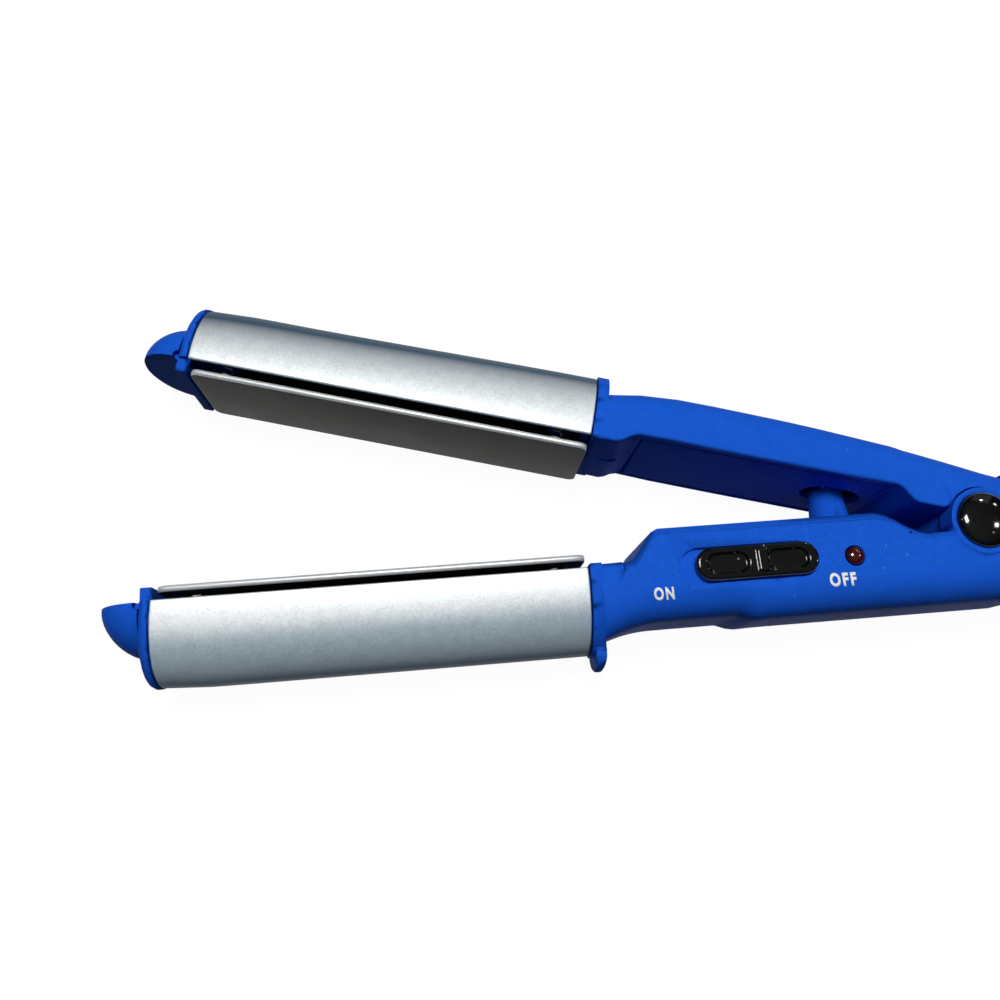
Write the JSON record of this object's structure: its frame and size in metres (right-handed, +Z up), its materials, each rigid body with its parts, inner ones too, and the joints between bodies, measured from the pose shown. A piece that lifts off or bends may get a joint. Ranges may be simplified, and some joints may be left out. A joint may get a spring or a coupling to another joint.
{
  "type": "mini hair straightener",
  "caption": "Small clam hair straightener: sprung metal plates in rounded barrels, moulded blue handles on a hinge, slide switch and pilot light.",
  "frame": {"origin": "on the hinge axis, in the plane of the flat side that the open iron lies on", "axes": "+Z up along the hinge axis, tips toward -X with the lower arm along the X axis, the upper arm opens toward +Y"},
  "size_m": [0.1745, 0.0716, 0.026],
  "materials": {
    "blue_plastic": "fine grained blue moulding",
    "satin_aluminium": "bead blasted and clear anodised",
    "plate_metal": "satin coated, with a bright edge",
    "gloss_black": "polished",
    "steel": "bright",
    "ceramic": "matte white",
    "board": "green laminate",
    "red_lens": "dark red, polished",
    "lamp": "clear, tinted",
    "dark_plastic": "moulded"
  },
  "bodies": {
    "lower_arm": {"lower_housing": "blue_plastic", "lower_cover": "blue_plastic", "lower_carrier": "blue_plastic", "lower_shell": "satin_aluminium", "lower_tip": "blue_plastic", "lower_plate_spring_1": "steel", "lower_plate_spring_2": "steel", "lower_plate_spring_3": "steel", "lower_plate_spring_4": "steel", "hinge_pin": "steel", "hinge_cap": "gloss_black", "switch_body": "dark_plastic", "circuit_board": "board", "pilot_lamp": "lamp", "pilot_lens": "red_lens", "thermal_fuse": "ceramic", "cord_gland": "dark_plastic", "cover_screw_1": "steel", "cover_screw_2": "steel", "return_spring": "steel"},
    "upper_arm": {"upper_housing": "blue_plastic", "upper_cover": "blue_plastic", "upper_carrier": "blue_plastic", "upper_shell": "satin_aluminium", "upper_tip": "blue_plastic", "upper_plate_spring_1": "steel", "upper_plate_spring_2": "steel", "upper_plate_spring_3": "steel", "upper_plate_spring_4": "steel"},
    "lower_plate_set": {"lower_plate": "plate_metal", "lower_heater": "ceramic", "lower_heater_clip": "steel"},
    "upper_plate_set": {"upper_plate": "plate_metal", "upper_heater": "ceramic", "upper_heater_clip": "steel"},
    "switch_knob": {"switch_knob": "gloss_black"}
  },
  "joints": [
    {"name": "arm_hinge", "type": "hinge", "parent": "lower_arm", "child": "upper_arm", "pos_m": [0, 0, 0.012], "axis": [0, 0, 1], "range_deg": [0, 15.3], "stiffness_Nm_per_rad": 0.15, "springref_deg": -20.05, "deforming": ["return_spring"]},
    {"name": "switch_slide", "type": "slide", "parent": "lower_arm", "child": "switch_knob", "axis": [-1, 0, 0], "range_m": [0, 0.0022]},
    {"name": "lower_plate_float", "type": "slide", "parent": "lower_arm", "child": "lower_plate_set", "axis": [0, -1, 0], "range_m": [0, 0.0006], "stiffness_N_per_m": 2000, "springref_m": -0.001, "deforming": ["lower_plate_spring_1", "lower_plate_spring_2", "lower_plate_spring_3", "lower_plate_spring_4"]},
    {"name": "upper_plate_float", "type": "slide", "parent": "upper_arm", "child": "upper_plate_set", "axis": [0.2639, 0.9646, 0], "range_m": [0, 0.0006], "stiffness_N_per_m": 2000, "springref_m": -0.001, "deforming": ["upper_plate_spring_1", "upper_plate_spring_2", "upper_plate_spring_3", "upper_plate_spring_4"]}
  ]
}
